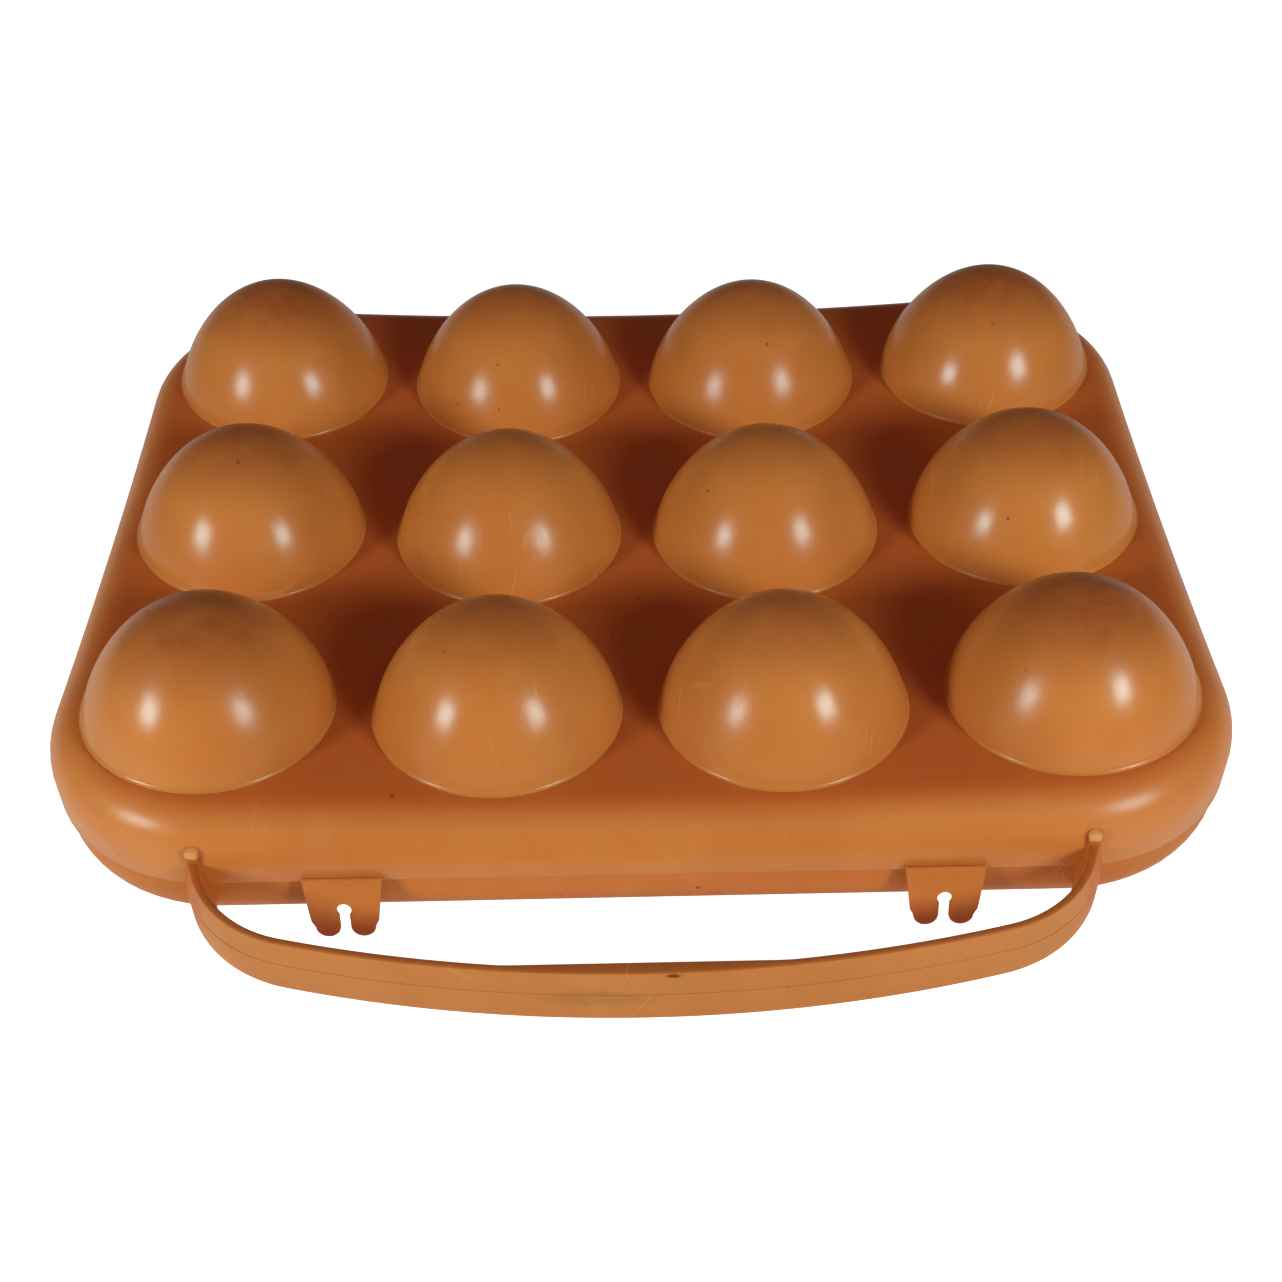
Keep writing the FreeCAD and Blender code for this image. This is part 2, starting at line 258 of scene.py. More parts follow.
@dataclass(frozen=True)
class AmberFinish:
    """Aged see-through amber plastic with a worn gloss, painted shade and a painted glow, in metres and lumps
    to the metre.
    """

    slot: Slot
    lit: Colour
    deep: Colour
    gloss: float = 0.27
    cloud: float = 0.55
    scratch: float = 0.5
    speck: float = 0.6
    glow: float = 0.22
    shine: float = 0.3
    # Painted glow: the emission colour stands in for light that the see-through plastic carries into its
    # shade
    inner: Colour = (0.05, 0.0045, 0.0003, 1.0)
    sheen: Colour = (0.6, 0.95, 1.0, 1.0)
    # Dust on the upper faces; on the domes' crowns it also carries painted shade
    dust_and_shade: Colour = amber(120, 50, 20)
    # Heights far over the box leave a piece free of dust and of painted shade
    dust_and_shade_low: float = 1.0
    dust_and_shade_high: float = 2.0
    # Painted shade: a darker tone where less light falls on the piece
    painted_shade: Colour = amber(166, 80, 30)
    painted_shade_low: float = 1.0
    painted_shade_high: float = 2.0
    painted_shade_share: float = 0.8
    marks: tuple[Mark, ...] = ()
    streak_colour: Colour = amber(214, 150, 92)
    scratch_colour: Colour = amber(226, 180, 128)
    dirt_colour: Colour = amber(62, 30, 16)
    cloud_scale: float = 26.0
    streak_scale: tuple[float, float, float] = (90.0, 90.0, 25.0)
    dust_and_shade_scale: float = 150.0
    hairline_turns: tuple[tuple[float, float], ...] = ((0.35, 0.0), (1.25, 3.0), (2.4, 7.0))
    hairline_scale: tuple[float, float, float] = (1900.0, 46.0, 46.0)
    hairline_patches: float = 60.0
    speck_scale: float = 190.0
    speck_rarity: float = 0.78
    speck_size: float = 0.55
    ragged_scale: float = 420.0
    wave_scale: float = 70.0
    grain_scale: float = 900.0
    bump_strength: float = 0.18
    bump_depth: float = 0.0012
    bending: float = 1.49
    glow_radius: tuple[float, float, float] = (1.0, 0.35, 0.12)
    glow_depth: float = 0.004

    def hairlines(self, graph: Graph, where: Wire) -> Wire:
        """Thin, straight scratches that run three ways.

        Args:
            graph: The material's tree.
            where: The place on the surface.

        Returns:
            1 on a scratch and 0 beside it.
        """
        lines = None
        for turn, seed in self.hairline_turns:
            way = graph.add("ShaderNodeMapping", {}, {"Vector": where, "Rotation": (0.4 * turn, 0.3, turn)})
            sockets = {"Vector": way, "Location": (seed, seed, seed), "Scale": self.hairline_scale}
            line = graph.noise(graph.add("ShaderNodeMapping", {}, sockets), 1.0, 0.0).rise(0.72, 0.8)
            lines = line if lines is None else lines.most(line)
        return lines * graph.noise(where, self.hairline_patches, 1.0).rise(0.56, 0.72)

    def specks(self, graph: Graph, where: Wire) -> Wire:
        """Small dark specks of dirt, each of its own size.

        Args:
            graph: The material's tree.
            where: The place on the surface.

        Returns:
            1 on a speck and 0 beside it.
        """
        sockets = {"Vector": where, "Scale": self.speck_scale, "Randomness": 1.0}
        cells = graph.node("ShaderNodeTexVoronoi", {}, sockets)
        size = graph.add("ShaderNodeSeparateColor", {}, {0: Wire(graph, cells.outputs["Color"])})
        reach = (size - self.speck_rarity).most(0.0) * self.speck_size
        return 1.0 - Wire(graph, cells.outputs["Distance"]).rise(reach * 0.6, reach + 0.004)

    def spot(self, graph: Graph, where: Wire, mark: Mark) -> Wire:
        """Soft patch round one mark.

        Args:
            graph: The material's tree.
            where: The place on the surface.
            mark: The mark.

        Returns:
            The mark's strength over the surface.
        """
        scale = tuple(1.0 / size for size in mark.reach)
        shift = tuple(-place / size for place, size in zip(mark.centre, mark.reach))
        near = graph.add("ShaderNodeMapping", {}, {"Vector": where, "Location": shift, "Scale": scale})
        far = graph.add("ShaderNodeVectorMath", {"operation": "LENGTH"}, {0: near}, "Value")
        ragged = far + (graph.noise(where, self.ragged_scale, 3.0) - 0.5) * 0.9
        return (1.0 - ragged.rise(0.45, 1.0)) * mark.strength

    def painted_shading(self, graph: Graph, where: Wire) -> Wire:
        """How far a place has the piece's painted shade, by its height.

        Args:
            graph: The material's tree.
            where: The place on the surface.

        Returns:
            0 in the plain tone and 1 in the painted shade.
        """
        return graph.add("ShaderNodeSeparateXYZ", {}, {0: where}, 2).rise(self.painted_shade_low, self.painted_shade_high)

    def material(self) -> bpy.types.Material:
        """Make the material.

        Returns:
            The material, named after its slot.
        """
        made = bpy.data.materials.new(self.slot.value)
        made.use_nodes = True
        made.node_tree.nodes.clear()
        graph = Graph(made.node_tree)
        where = graph.add("ShaderNodeTexCoord", {}, {}, "Object")
        clouds = graph.noise(where, self.cloud_scale, 4.0, 0.6).rise(0.3, 0.7)
        drawn = graph.add("ShaderNodeMapping", {}, {"Vector": where, "Scale": self.streak_scale})
        streaks = graph.noise(drawn, 1.0, 3.0)
        height = graph.add("ShaderNodeSeparateXYZ", {}, {0: where}, 2)
        patchy = graph.noise(where, self.dust_and_shade_scale, 4.0, 0.7).rise(0.3, 0.75) * 0.35 + 0.65
        lines = self.hairlines(graph, where) * self.scratch
        dirt = self.specks(graph, where) * self.speck
        # Dust that settles on high places, which on the domes' crowns also carries painted shade
        settled_dust_and_shade = height.rise(self.dust_and_shade_low, self.dust_and_shade_high) * patchy
        colour = graph.mix(clouds * self.cloud, self.lit, self.deep)
        colour = graph.mix(streaks.rise(0.5, 0.75) * 0.12, colour, self.streak_colour)
        # Painted shade where less light falls: by height, or on the lid by inset
        colour = graph.mix(self.painted_shading(graph, where) * self.painted_shade_share, colour, self.painted_shade)
        colour = graph.mix(settled_dust_and_shade * 0.75, colour, self.dust_and_shade)
        colour = graph.mix(lines * 0.4, colour, self.scratch_colour)
        colour = graph.mix(dirt, colour, self.dirt_colour)
        # Marks: stains and wear, and on the strap also painted shade and painted highlights
        for mark in self.marks:
            colour = graph.mix(self.spot(graph, where, mark), colour, mark.colour)
        worn = clouds * 0.05 + streaks * 0.06 + settled_dust_and_shade * 0.18 + lines * 0.15 + dirt * 0.2
        dull = worn + (self.gloss - 0.04)
        waves = graph.noise(where, self.wave_scale, 2.0) * 0.5
        ripple = waves + graph.noise(where, self.grain_scale, 2.0) * 0.03 - lines * 0.08
        relief = {"Strength": self.bump_strength, "Distance": self.bump_depth, "Height": ripple}
        # The emission is a painted glow, standing in for light carried through the plastic into its shade
        shader = graph.add("ShaderNodeBsdfPrincipled", {"subsurface_method": "RANDOM_WALK"}, {
            "Base Color": colour, "Roughness": dull, "Normal": graph.add("ShaderNodeBump", {}, relief),
            "IOR": self.bending, "Specular IOR Level": self.shine, "Specular Tint": self.sheen,
            "Subsurface Weight": self.glow, "Subsurface Radius": self.glow_radius,
            "Subsurface Scale": self.glow_depth, "Emission Color": self.inner, "Emission Strength": 1.0,
        })
        graph.node("ShaderNodeOutputMaterial", {}, {"Surface": shader})
        return made


@dataclass(frozen=True)
class PlateShadedFinish(AmberFinish):
    """Amber finish of the lid, with painted shade on the plate and none on the round edge about it."""

    half_x: float = field(kw_only=True)
    half_y: float = field(kw_only=True)
    corner_r: float = field(kw_only=True)
    middle_y: float = field(kw_only=True)

    def painted_shading(self, graph: Graph, where: Wire) -> Wire:
        """How far a place has the painted shade, by how far it is inside the lid's outline.

        Args:
            graph: The material's tree.
            where: The place on the surface.

        Returns:
            0 on the round edge and 1 on the plate.
        """
        spot = graph.node("ShaderNodeSeparateXYZ", {}, {0: where})
        far_x = (Wire(graph, spot.outputs[0]).sum("ABSOLUTE") - (self.half_x - self.corner_r)).most(0.0)
        off_y = Wire(graph, spot.outputs[1]) - self.middle_y
        far_y = (off_y.sum("ABSOLUTE") - (self.half_y - self.corner_r)).most(0.0)
        inset = self.corner_r - (far_x * far_x + far_y * far_y).sum("SQRT")
        return inset.rise(self.painted_shade_low, self.painted_shade_high)


@dataclass
class Draft:
    """Points and faces of one piece, in millimetres about the middle of the tray."""

    box_y: float
    points: list[Vector] = field(default_factory=list)
    faces: list[tuple[int, ...]] = field(default_factory=list)

    def add(self, points: Sequence[Vector]) -> list[int]:
        """Add points.

        Args:
            points: The points to add.

        Returns:
            Their places in the draft.
        """
        start = len(self.points)
        self.points.extend(points)
        return list(range(start, start + len(points)))

    def bridge(self, first: Sequence[int], second: Sequence[int]) -> None:
        """Join two closed rings of the same count with four-sided faces.

        Args:
            first: Places of the first ring's points.
            second: Places of the second ring's points.
        """
        count = len(first)
        for here in range(count):
            there = (here + 1) % count
            self.faces.append((first[here], first[there], second[there], second[here]))

    def loft(self, rings: Sequence[Section], capped: bool = False) -> None:
        """Join rings one after the other.

        Args:
            rings: Closed rings with the same count of points.
            capped: Whether the first and last ring are closed with a face.
        """
        placed = [self.add(ring) for ring in rings]
        for first, second in zip(placed, placed[1:]):
            self.bridge(first, second)
        if capped:
            self.faces.append(tuple(placed[0]))
            self.faces.append(tuple(placed[-1]))

    def fill(self, loop: Sequence[Plan], inner: Sequence[Plan], kept: Callable[[Plan], bool],
             edges: Sequence[tuple[int, int]], lift: Callable[[float, float], Vector]) -> None:
        """Cover a flat outline with triangles and lift them on to a surface.

        Args:
            loop: The outline's points, holes included.
            inner: Loose points inside the outline.
            kept: Tells whether the middle of a triangle is on the piece.
            edges: The outline's edges.
            lift: Turns a plan point into a point on the surface.
        """
        flat = [Vector(point) for point in (*loop, *inner)]
        found = delaunay_2d_cdt(flat, list(edges), [], 1, 1e-7)
        places = self.add([lift(point.x, point.y) for point in found[0]])
        for face in found[2]:
            middle = sum((found[0][corner] for corner in face), Vector((0, 0))) / len(face)
            if kept((middle.x, middle.y)):
                self.faces.append(tuple(places[corner] for corner in face))

    def piece(self, name: str, material: bpy.types.Material, crease: float = 32.0) -> bpy.types.Object:
        """Turn the draft into an object in the shared frame.

        Args:
            name: The object's name.
            material: Its material.
            crease: Angle in degrees past which an edge stays sharp.

        Returns:
            The object, at the origin with its place in its mesh.
        """
        mesh = bpy.data.meshes.new(name)
        mesh.from_pydata(self.points, [], self.faces)
        shape = bmesh.new()
        shape.from_mesh(mesh)
        bmesh.ops.remove_doubles(shape, verts=shape.verts, dist=WELD)
        bmesh.ops.dissolve_degenerate(shape, edges=shape.edges, dist=WELD / 4)
        bmesh.ops.recalc_face_normals(shape, faces=shape.faces)
        shape.to_mesh(mesh)
        shape.free()
        mesh.transform(Matrix.Diagonal((MM, MM, MM, 1.0)) @ Matrix.Translation((0.0, self.box_y, 0.0)))
        return finished(name, mesh, material, crease)


def finished(name: str, mesh: bpy.types.Mesh, material: bpy.types.Material,
             crease: float) -> bpy.types.Object:
    """Make an object of a mesh, shade it and give it its material.

    Args:
        name: The object's name.
        mesh: The mesh, in metres in the shared frame.
        material: The material.
        crease: Angle in degrees past which an edge stays sharp.

    Returns:
        The object.
    """
    mesh.materials.clear()
    mesh.materials.append(material)
    mesh.shade_smooth()
    mesh.set_sharp_from_angle(angle=math.radians(crease))
    made = bpy.data.objects.new(name, mesh)
    bpy.context.scene.collection.objects.link(made)
    return made


def closed_edges(count: int, start: int = 0) -> list[tuple[int, int]]:
    """Edges of a closed loop whose points follow one another from a start."""
    return [(start + here, start + (here + 1) % count) for here in range(count)]


@dataclass
class BoxPlan:
    """Sizes that the pieces of the box share, in millimetres."""

    columns: int = 4
    rows: int = 3
    pitch: float = 57.5
    length: float = 238.4
    depth: float = 183.1
    corner_r: float = 36.5
    wall: float = 1.5
    seam_z: float = 26.0
    seam_gap: float = 0.3
    cup_depth: float = 12.0
    dish_low: float = 35.65
    dish_r: float = 1150.0
    box_y: float = 11.6
    arc_steps: int = 16
    side_steps: int = 12
    hole_steps: int = 64
    grid_step: float = 7.0
    ring_clear: float = 0.4
    grid_clear: float = 2.0
    edge_clear: float = 2.5

    @property
    def front_y(self) -> float:
        """Front of the lid, about the middle of the tray."""
        return -self.depth / 2

    @property
    def lid_bottom(self) -> float:
        """Height of the lid's lower rim."""
        return self.seam_z + self.seam_gap / 2

    @property
    def base_top(self) -> float:
        """Height of the base's upper rim."""
        return self.seam_z - self.seam_gap / 2

    @property
    def dish_middle(self) -> float:
        """Height of the middle of the sphere that the lid's dish is part of."""
        return self.dish_low + self.dish_r

    def dish(self, x: float, y: float, under: float = 0.0) -> float:
        """Height of the dished plate.

        Args:
            x: Place along the box.
            y: Place across the box.
            under: Depth below the top face.

        Returns:
            The height.
        """
        return self.dish_middle - math.sqrt((self.dish_r + under) ** 2 - x * x - y * y)

    def places(self) -> list[tuple[str, float, float]]:
        """Find the egg places.

        Returns:
            The name and the plan place of every egg.
        """
        names = ("front", "middle", "back")
        found = []
        for row in range(self.rows):
            for column in range(self.columns):
                x = (column - (self.columns - 1) / 2) * self.pitch
                y = (row - (self.rows - 1) / 2) * self.pitch
                found.append((f"{names[row]}_{column + 1}", x, y))
        return found

    def spine(self) -> list[tuple[Vector, Vector]]:
        """Walk round the box along the middles of its corner arcs.

        Returns:
            Points that the rim's corner arcs turn about, with the way out from each.
        """
        reach_x = self.length / 2 - self.corner_r
        reach_y = self.depth / 2 - self.corner_r
        centres = [Vector((reach_x, reach_y)), Vector((-reach_x, reach_y)),
                   Vector((-reach_x, -reach_y)), Vector((reach_x, -reach_y))]
        found = []
        for quarter, centre in enumerate(centres):
            for step in range(self.arc_steps + 1):
                turn = (quarter + step / self.arc_steps) * math.pi / 2
                found.append((centre, Vector((math.cos(turn), math.sin(turn)))))
            out = found[-1][1]
            following = centres[(quarter + 1) % 4]
            for step in range(1, self.side_steps):
                found.append((centre.lerp(following, step / self.side_steps), out))
        return found

    def ring(self, inset: float, z: float) -> Section:
        """Level ring round the box.

        Args:
            inset: How far inside the lid's outline.
            z: Height.

        Returns:
            The ring's points.
        """
        up = Vector((0, 0, z))
        return [(centre + out * (self.corner_r - inset)).to_3d() + up for centre, out in self.spine()]

    def gap(self, x: float, y: float) -> float:
        """Distance of a place from the middle of the nearest egg."""
        return min(math.hypot(x - px, y - py) for _, px, py in self.places())

    def past_spine(self, x: float, y: float) -> Plan:
        """How far a place is outside the middles of the corner arcs.

        Args:
            x: Place along the box.
            y: Place across the box.

        Returns:
            The distance along the box and the one across it, 0 where it is inside.
        """
        reach_x = self.length / 2 - self.corner_r
        reach_y = self.depth / 2 - self.corner_r
        return max(0.0, abs(x) - reach_x), max(0.0, abs(y) - reach_y)

    def plate(self, draft: Draft, rings: Sequence[Section], hole_r: float,
              level: Callable[[float, float], float]) -> None:
        """Cover the plan inside a ring, with a round hole at each egg place.

        Args:
            draft: The draft that takes the plate.
            rings: The plate's outer ring, then rings inside it that the plate follows beside the holes.
            hole_r: Radius of the holes.
            level: Height of the plate at a place.
        """
        rim = rings[0]
        loop = [(point.x, point.y) for point in rim]
        edges = closed_edges(len(rim))
        heights = {(round(point.x, 3), round(point.y, 3)): point.z for ring in rings for point in ring}
        for _, x, y in self.places():
            edges += closed_edges(self.hole_steps, len(loop))
            loop += self.circle(x, y, hole_r)
        apothem = hole_r * math.cos(math.pi / self.hole_steps)
        low_x = max(point.x for point in rings[-1])
        low_y = max(point.y for point in rings[-1])
        inner = [(point.x, point.y) for ring in rings[1:] for point in ring
                 if self.gap(point.x, point.y) > hole_r + self.ring_clear]
        inset = self.length / 2 - low_x + self.edge_clear
        steps_x = int(low_x / self.grid_step)
        steps_y = int(low_y / self.grid_step)
        for across in range(-steps_x, steps_x + 1):
            for deep in range(-steps_y, steps_y + 1):
                x = across * low_x / (steps_x + 1)
                y = deep * low_y / (steps_y + 1)
                if self.gap(x, y) > hole_r + self.grid_clear and self.inside(x, y, inset):
                    inner.append((x, y))

        def kept(middle: Plan) -> bool:
            """Whether a place is clear of all the holes."""
            return self.gap(*middle) >= apothem

        def lift(x: float, y: float) -> Vector:
            """The plate's surface over a place."""
            return Vector((x, y, heights.get((round(x, 3), round(y, 3)), level(x, y))))

        draft.fill(loop, inner, kept, edges, lift)

    def circle(self, x: float, y: float, radius: float) -> list[Plan]:
        """Plan points of a round hole.

        Args:
            x: Middle along the box.
            y: Middle across the box.
            radius: The hole's radius.

        Returns:
            The points.
        """
        turns = [2 * math.pi * step / self.hole_steps for step in range(self.hole_steps)]
        return [(x + radius * math.cos(turn), y + radius * math.sin(turn)) for turn in turns]

    def inside(self, x: float, y: float, inset: float) -> bool:
        """Whether a place is inside the lid's outline by more than an inset."""
        return math.hypot(*self.past_spine(x, y)) < self.corner_r - inset

    def holes(self, draft: Draft, radius: float, top: Callable[[float, float], float],
              under: Callable[[float, float], float]) -> None:
        """Walls of the round holes at the egg places.

        Args:
            draft: The draft that takes the walls.
            radius: Radius of the holes.
            top: Height of the upper face at a place.
            under: Height of the lower face at a place.
        """
        for _, x, y in self.places():
            plan = self.circle(x, y, radius)
            draft.loft([[Vector((px, py, level(px, py))) for px, py in plan] for level in (top, under)])


@dataclass
class LidTray:
    """The lid without its domes: dished plate, big round edge and skirt."""

    plan: BoxPlan
    edge_r: float = 10.0
    hole_r: float = 23.25
    rim_round: float = 0.3
    edge_steps: int = 12
    plate_rings: int = 3

    def level(self, x: float, y: float, under: float = 0.0) -> float:
        """Height of the lid's face over a place, on the dish or high on the round edge.

        Args:
            x: Place along the box.
            y: Place across the box.
            under: Depth below the outer face.

        Returns:
            The height.
        """
        plan = self.plan
        far_x, far_y = plan.past_spine(x, y)
        far = math.hypot(far_x, far_y)
        radius = self.edge_r - under
        off = far - (plan.corner_r - self.edge_r)
        if off < -radius:
            return plan.dish(x, y, under)
        out = Vector((math.copysign(far_x, x), math.copysign(far_y, y))) / far
        ball = Vector((x, y)) - out * off
        if off < -radius * ball.dot(out) / (plan.dish_r + self.edge_r):
            return plan.dish(x, y, under)
        return plan.dish(ball.x, ball.y, self.edge_r) + math.sqrt(radius ** 2 - off ** 2)

    def edge_rings(self, under: float) -> list[Section]:
        """Rings of the round edge between the skirt and the dish.

        Args:
            under: Depth below the outer face.

        Returns:
            The rings, from the skirt up to the plate.
        """
        plan = self.plan
        radius = self.edge_r - under
        rings = []
        for step in range(self.edge_steps + 1):
            ring = []
            for centre, out in plan.spine():
                ball = centre + out * (plan.corner_r - self.edge_r)
                ball_z = plan.dish(ball.x, ball.y, self.edge_r)
                lean = math.asin(ball.dot(out) / (plan.dish_r + self.edge_r))
                turn = step / self.edge_steps * (math.pi / 2 + lean)
                spot = ball + out * radius * math.cos(turn)
                z = ball_z + radius * math.sin(turn)
                if step == self.edge_steps:
                    z = plan.dish(spot.x, spot.y, under)
                ring.append(Vector((spot.x, spot.y, z)))
            rings.append(ring)
        return rings

    def build(self, material: bpy.types.Material) -> bpy.types.Object:
        """Build the tray.

        Args:
            material: The tray's material.

        Returns:
            The tray's object.
        """
        plan = self.plan
        draft = Draft(plan.box_y)
        outer = self.edge_rings(0.0)
        inner = self.edge_rings(plan.wall)
        bottom = plan.lid_bottom
        eased = self.rim_round * ROUND_MIDDLE
        steps = [(plan.wall, bottom), (self.rim_round, bottom), (eased, bottom + eased),
                 (0.0, bottom + self.rim_round)]
        rim = [plan.ring(inset, z) for inset, z in steps]
        last = 1 - self.plate_rings

        def under(x: float, y: float) -> float:
            """Height of the lid's inner face over a place."""
            return self.level(x, y, plan.wall)

        draft.loft([*reversed(inner[:last]), *rim, *outer[:last]])
        plan.plate(draft, outer[-self.plate_rings:], self.hole_r, self.level)
        plan.plate(draft, inner[-self.plate_rings:], self.hole_r, under)
        plan.holes(draft, self.hole_r, self.level, under)
        return draft.piece("lid_tray_shell", material)


@dataclass
class BaseTray:
    """The base without its cups: floor, round edge, wall and the lip inside the lid."""

    plan: BoxPlan
    inset: float = 0.8
    edge_r: float = 10.0
    hole_r: float = 19.5
    lip_rise: float = 2.0
    lip_inset: float = 1.9
    lip_thickness: float = 0.9
    rim_round: float = 0.3
    edge_steps: int = 10

    def edge_rings(self, radius: float) -> list[Section]:
        """Rings of the round edge between the floor and the wall.

        Args:
            radius: Radius of the edge's face.

        Returns:
            The rings, from the floor up to the wall.
        """
        rings = []
        for step in range(self.edge_steps + 1):
            turn = step / self.edge_steps * math.pi / 2
            inset = self.inset + self.edge_r - radius * math.sin(turn)
            rings.append(self.plan.ring(inset, self.plan.cup_depth + self.edge_r - radius * math.cos(turn)))
        return rings

    def build(self, material: bpy.types.Material) -> bpy.types.Object:
        """Build the tray.

        Args:
            material: The tray's material.

        Returns:
            The tray's object.
        """
        plan = self.plan
        draft = Draft(plan.box_y)
        outer = self.edge_rings(self.edge_r)
        inner = self.edge_rings(self.edge_r - plan.wall)
        top = plan.base_top
        lip_top = plan.seam_z + self.lip_rise
        lip_in = self.lip_inset + self.lip_thickness
        soft = self.rim_round
        eased = ROUND_MIDDLE * soft
        steps = [
            (self.inset, top - soft), (self.inset + eased, top - eased), (self.inset + soft, top),
            (self.lip_inset, top), (self.lip_inset, lip_top - soft), (self.lip_inset + soft, lip_top),
            (lip_in - soft, lip_top), (lip_in, lip_top - soft), (lip_in, top - plan.wall),
            (self.inset + plan.wall, top - plan.wall),
        ]
        wall = [plan.ring(inset, z) for inset, z in steps]
        draft.loft([*outer, *wall, *reversed(inner)])
        floor = plan.cup_depth
        plan.plate(draft, outer[:1], self.hole_r, lambda x, y: floor)
        plan.plate(draft, inner[:1], self.hole_r, lambda x, y: floor + plan.wall)
        plan.holes(draft, self.hole_r, lambda x, y: floor + plan.wall, lambda x, y: floor)
        return draft.piece("base_tray_shell", material)


class SpunTree:
    """Geometry Nodes tree that spins the wall of an egg place round its middle."""

    sizes: tuple[str, ...] = ("Place X", "Place Y", "Box Y", "Radius", "Wall")
    shares: tuple[str, ...] = ("Fullness",)
    around: int = 96
    profile: int = 64
    merge: float = 2e-6
    crease: float = 38.0

    def __init__(self, name: str) -> None:
        """Make the tree with its named inputs.

        Args:
            name: The tree's name.
        """
        self.tree = bpy.data.node_groups.new(name, "GeometryNodeTree")
        self.keys: dict[str, str] = {}
        for size in self.sizes:
            socket = self.tree.interface.new_socket(size, in_out="INPUT", socket_type="NodeSocketFloat")
            self.keys[size] = socket.identifier
        socket = self.tree.interface.new_socket("Finish", in_out="INPUT", socket_type="NodeSocketMaterial")
        self.keys["Finish"] = socket.identifier
        self.tree.interface.new_socket("Geometry", in_out="OUTPUT", socket_type="NodeSocketGeometry")
        self.lay()

    def outline(self, size: dict[str, Wire], share: Wire, outer: Wire,
                turn: tuple[Wire, Wire]) -> tuple[Wire, Wire]:
        """Radius and height of the wall; each kind of egg place has its own.

        Args:
            size: The tree's inputs by name.
            share: 0 at the rim and 1 at the middle.
            outer: 1 on the outer face and 0 on the inner one.
            turn: Cosine and sine of the turn round the middle.

        Returns:
            The radius and the height.
        """
        raise NotImplementedError

    def lay(self) -> None:
        """Add the tree's nodes."""
        graph = Graph(self.tree)
        given = graph.node("NodeGroupInput")
        size = {name: Wire(graph, given.outputs[name]) for name in self.sizes}
        grid = graph.node("GeometryNodeMeshGrid", {}, {
            "Size X": 1.0, "Size Y": 1.0, "Vertices X": self.around + 1, "Vertices Y": self.profile})
        spot = graph.node("ShaderNodeSeparateXYZ", {}, {0: Wire(graph, grid.outputs["UV Map"])})
        angle = Wire(graph, spot.outputs[0]) * (2 * math.pi)
        run = Wire(graph, spot.outputs[1])
        first = math.sin(math.pi / 2 / (self.profile - 1))
        share = (((run * math.pi).sum("COSINE").sum("ABSOLUTE") - first) / (1 - first)).most(0.0)
        turn = (angle.sum("COSINE"), angle.sum("SINE"))
        radius, height = self.outline(size, share, run.sum("GREATER_THAN", 0.5), turn)
        place = graph.add("ShaderNodeCombineXYZ", {}, {
            0: size["Place X"] + radius * turn[0],
            1: size["Place Y"] + size["Box Y"] + radius * turn[1],
            2: height})
        mesh = Wire(graph, grid.outputs["Mesh"])
        mesh = graph.add("GeometryNodeSetPosition", {}, {"Geometry": mesh, "Position": place})
        mesh = graph.add("GeometryNodeMergeByDistance", {}, {"Geometry": mesh, "Distance": self.merge})
        mesh = graph.add("GeometryNodeRealizeInstances", {}, {"Geometry": mesh})
        mesh = graph.add("GeometryNodeSetMaterial", {}, {
            "Geometry": mesh, "Material": Wire(graph, given.outputs["Finish"])})
        graph.node("NodeGroupOutput", {}, {"Geometry": mesh})

    def spin(self, name: str, sizes: dict[str, float], material: bpy.types.Material) -> bpy.types.Object:
        """Run the tree once and keep its mesh.

        Args:
            name: The object's name.
            sizes: The inputs in millimetres, or plain numbers for shares.
            material: The material.

        Returns:
            The object, with a plain mesh.
        """
        holder = bpy.data.objects.new(name, bpy.data.meshes.new(name))
        bpy.context.scene.collection.objects.link(holder)
        modifier = holder.modifiers.new("spun", "NODES")
        modifier.node_group = self.tree
        for key, value in sizes.items():
            modifier[self.keys[key]] = value if key in self.shares else value * MM
        modifier[self.keys["Finish"]] = material
        view = bpy.context.evaluated_depsgraph_get()
        mesh = bpy.data.meshes.new_from_object(holder.evaluated_get(view))
        holder.modifiers.remove(modifier)
        bpy.data.objects.remove(holder)
        shape = bmesh.new()
        shape.from_mesh(mesh)
        bmesh.ops.remove_doubles(shape, verts=shape.verts, dist=WELD * MM)
        bmesh.ops.recalc_face_normals(shape, faces=shape.faces)
        shape.to_mesh(mesh)
        shape.free()
        mesh.name = name
        return finished(name, mesh, material, self.crease)


